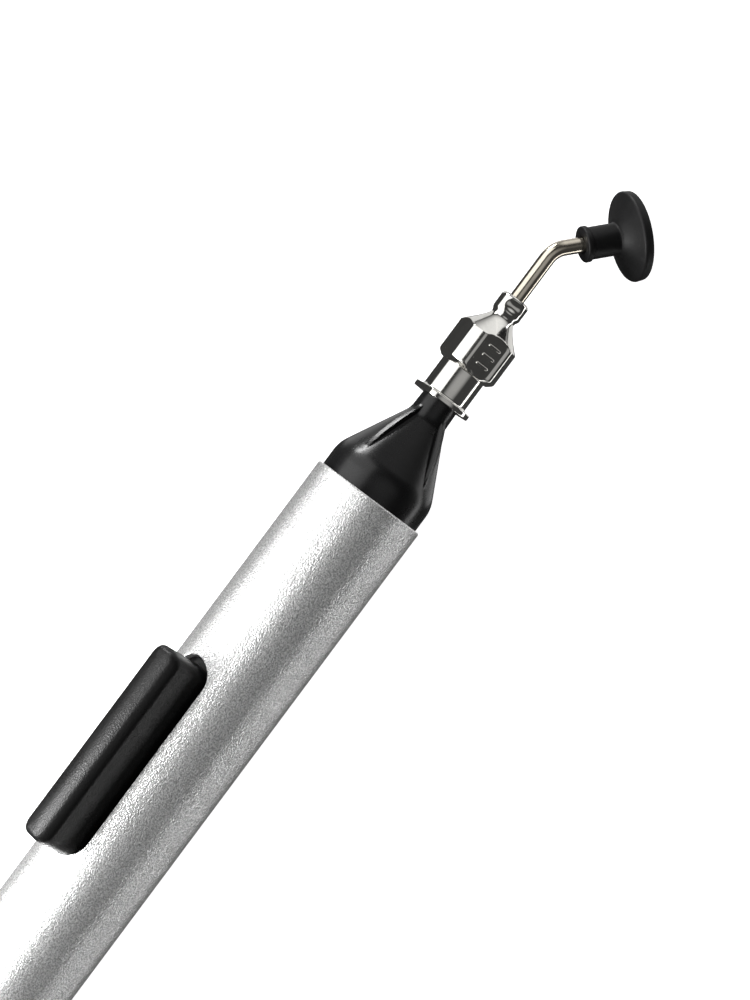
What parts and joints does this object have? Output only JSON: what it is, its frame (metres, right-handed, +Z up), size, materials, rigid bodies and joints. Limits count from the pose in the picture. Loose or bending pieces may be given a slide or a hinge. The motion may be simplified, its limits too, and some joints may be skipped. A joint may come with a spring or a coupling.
{
  "type": "vacuum pick-up pen",
  "caption": "Hand vacuum pick-up pen: slotted aluminium tube with a side button over a squeeze bulb, ribbed nose cone, slip-on needle hub, bent needle and rubber suction cup.",
  "frame": {"origin": "centre of the flat rear face of the tail plug, on the axis of the tube; the pen lies on its side, and its lowest line is one tube radius under the origin", "axes": "+X along the pen from the tail to the needle hub, +Z up from the surface that the pen lies on; the button points 50 degrees from +Z towards +Y, and the needle bends towards -Y, 105 degrees from +Z"},
  "size_m": [0.1479, 0.0192, 0.0147],
  "materials": {
    "tube_aluminium": "bead-blasted and clear anodised, satin with a fine grain",
    "nose_plastic": "black moulded plastic, semi-gloss",
    "tail_plastic": "black moulded plastic, satin",
    "bulb_rubber": "natural latex, dull",
    "ferrule_brass": "plain rolled brass",
    "button_plastic": "black moulded plastic, satin with a fine texture",
    "plate_steel": "cold-rolled spring steel",
    "hub_nickel": "nickel-plated brass, bright",
    "needle_steel": "drawn stainless steel, bright",
    "cup_rubber": "black moulded rubber, satin"
  },
  "bodies": {
    "pen": {"barrel_tube": "tube_aluminium", "nose_cone": "nose_plastic", "tail_plug": "tail_plastic", "squeeze_bulb": "bulb_rubber", "bulb_ferrule": "ferrule_brass"},
    "push_button": {"button": "button_plastic", "presser_plate": "plate_steel"},
    "nozzle": {"needle_hub": "hub_nickel", "needle_tube": "needle_steel"},
    "cup": {"suction_cup": "cup_rubber"}
  },
  "joints": [
    {"name": "button_press", "type": "slide", "parent": "pen", "child": "push_button", "axis": [0, -0.766, -0.6428], "range_m": [0, 0.0035], "stiffness_N_per_m": 1500, "deforming": ["squeeze_bulb"]},
    {"name": "nozzle_twist", "type": "hinge", "parent": "pen", "child": "nozzle", "pos_m": [0.122, 0, 0], "axis": [1, 0, 0], "continuous": true},
    {"name": "cup_pull", "type": "slide", "parent": "nozzle", "child": "cup", "axis": [0.7071, -0.683, -0.183], "range_m": [0, 0.005]}
  ]
}
